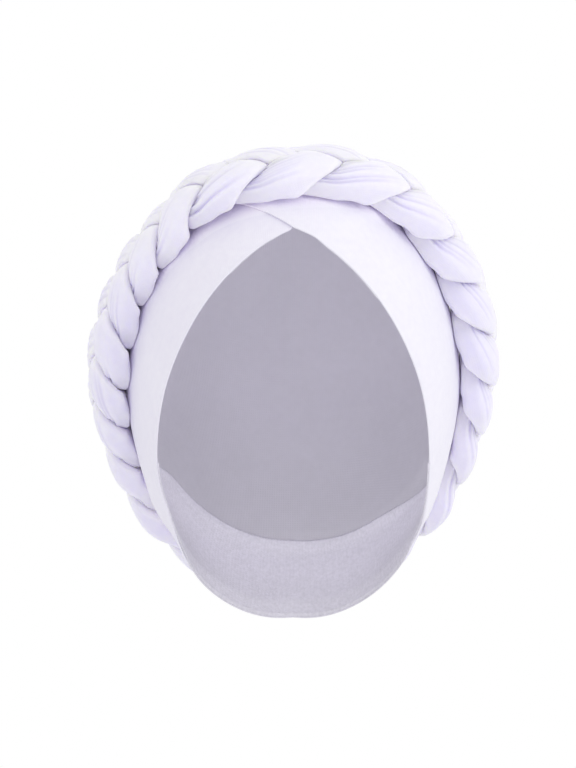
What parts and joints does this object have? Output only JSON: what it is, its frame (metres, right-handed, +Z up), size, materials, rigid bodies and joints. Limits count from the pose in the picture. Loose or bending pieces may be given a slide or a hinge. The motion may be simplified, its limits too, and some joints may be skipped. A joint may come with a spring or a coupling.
{
  "type": "chemo head wrap",
  "caption": "Soft jersey head wrap with a crossed front, a puffy plaited halo, a darker lining and an open hollow for the head, held as worn.",
  "frame": {"origin": "inside top of the crown, where the head bears", "axes": "+Z up as worn, +X toward the right of the picture, the face opening toward -Y"},
  "size_m": [0.1994, 0.19, 0.2057],
  "materials": {
    "jersey": "smooth pale lavender cotton jersey, matt with a faint bloom",
    "braid_jersey": "the same pale lavender jersey, softly gathered round its padding",
    "lining": "plain grey lavender lining cloth, matt",
    "nape_knit": "light grey lavender knit with a fine visible stitch, matt"
  },
  "bodies": {
    "root": {"crown": "jersey", "front_panel_left": "jersey", "front_panel_right": "jersey", "braid_strand_1": "braid_jersey", "braid_strand_2": "braid_jersey", "braid_strand_3": "braid_jersey", "lining": "lining", "nape_band": "nape_knit"}
  },
  "joints": []
}
